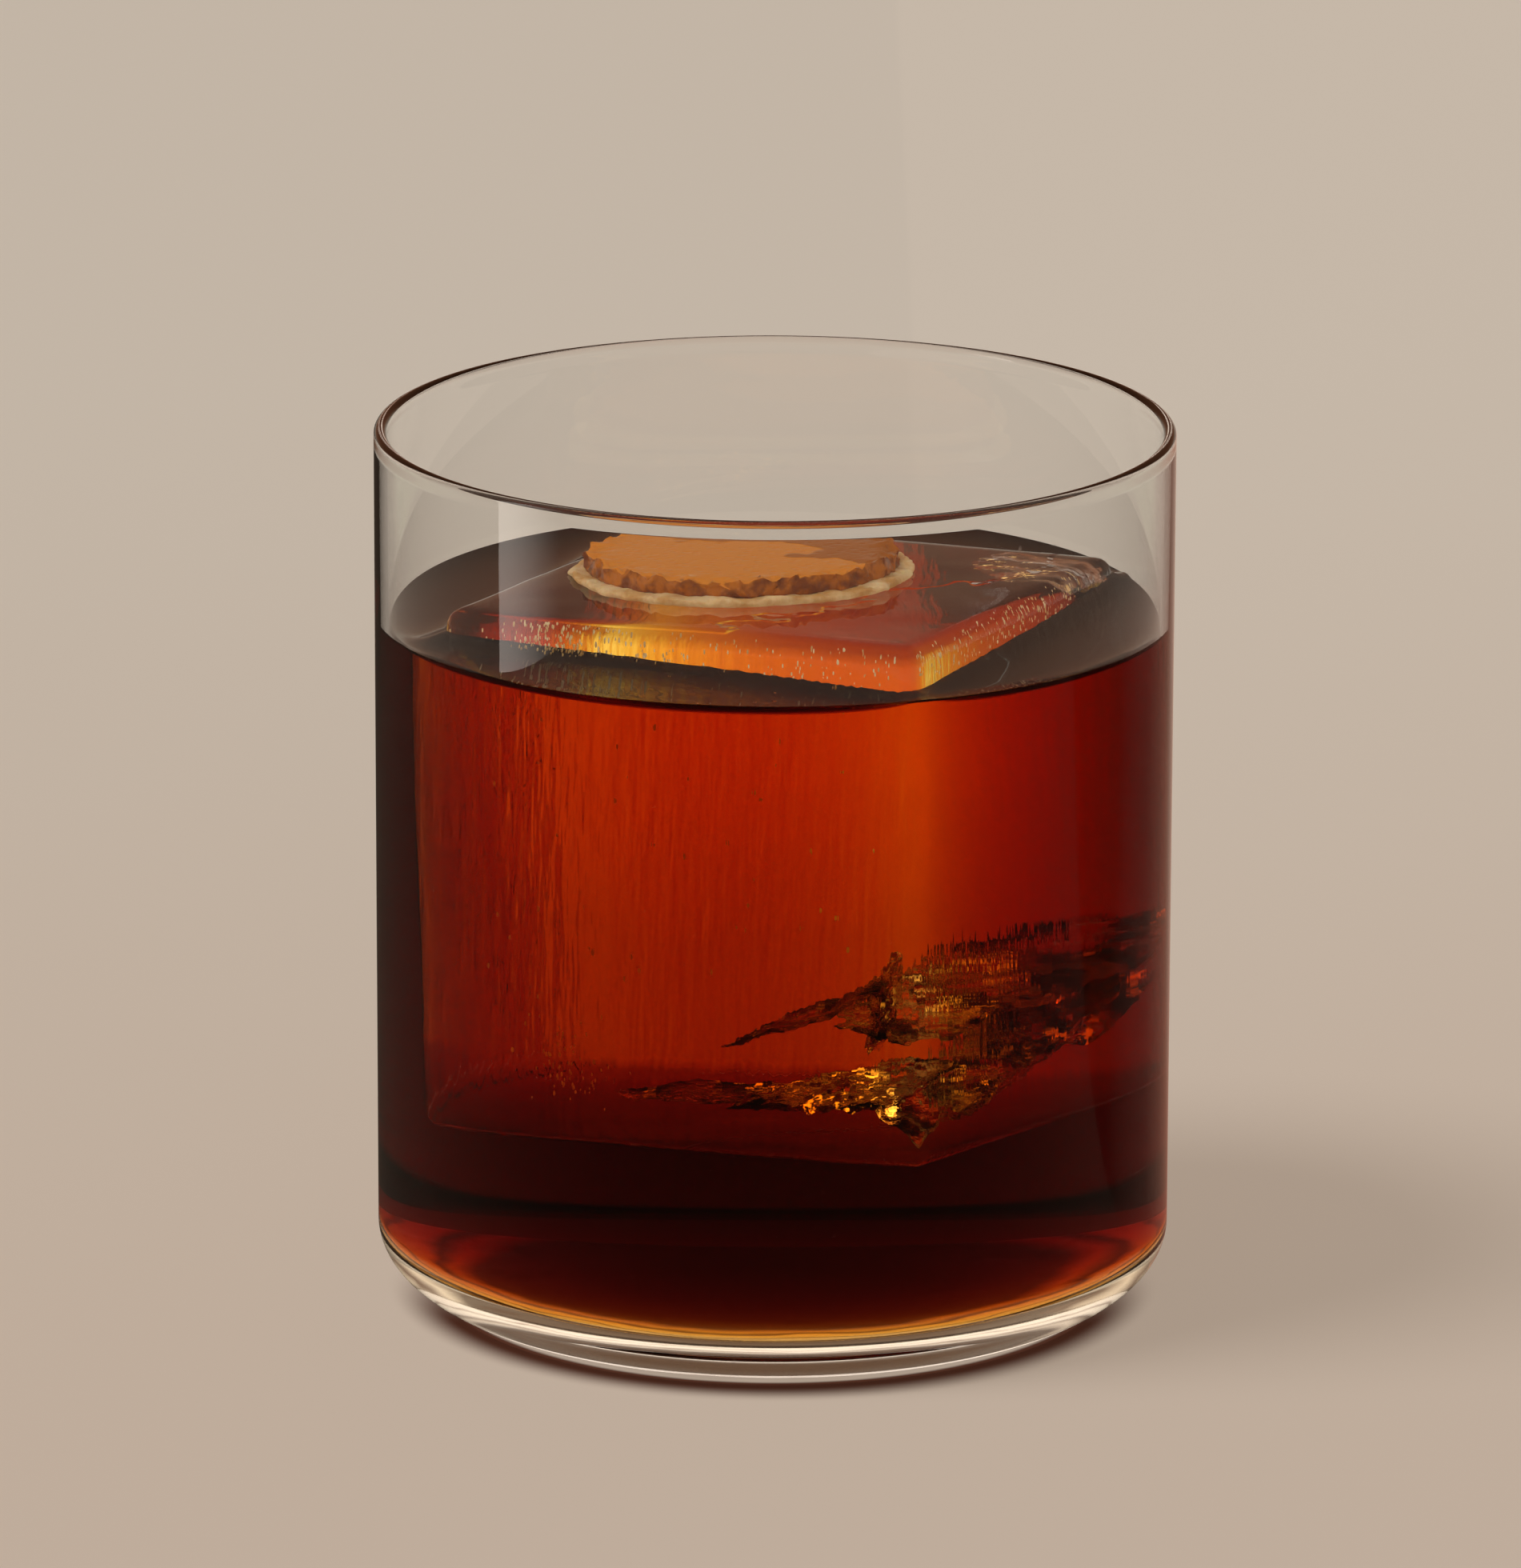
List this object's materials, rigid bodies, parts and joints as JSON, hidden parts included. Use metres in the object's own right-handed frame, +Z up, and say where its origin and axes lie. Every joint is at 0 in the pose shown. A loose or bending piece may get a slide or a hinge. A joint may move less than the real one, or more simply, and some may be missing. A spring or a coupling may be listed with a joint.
{
  "type": "negroni in a tumbler",
  "caption": "Short red-orange drink in a thin straight-sided tumbler, with a large clear ice block afloat and a coin of citrus peel on it.",
  "frame": {"origin": "centre of the tumbler's foot, on the surface it stands on", "axes": "+Z up along the tumbler's axis, -Y the front that shows the ice's nearest corner, +X to the right"},
  "size_m": [0.085, 0.085, 0.0949],
  "materials": {
    "clear_glass": "clear, polished, fire-polished lip",
    "red_drink": "clear deep red-orange liquid",
    "clear_ice": "clear wet ice with melted edges",
    "citrus_peel": "waxy pored rind over pale pith, wet"
  },
  "bodies": {
    "root": {"tumbler": "clear_glass", "drink": "red_drink", "ice_block": "clear_ice", "peel_coin": "citrus_peel"}
  },
  "joints": []
}
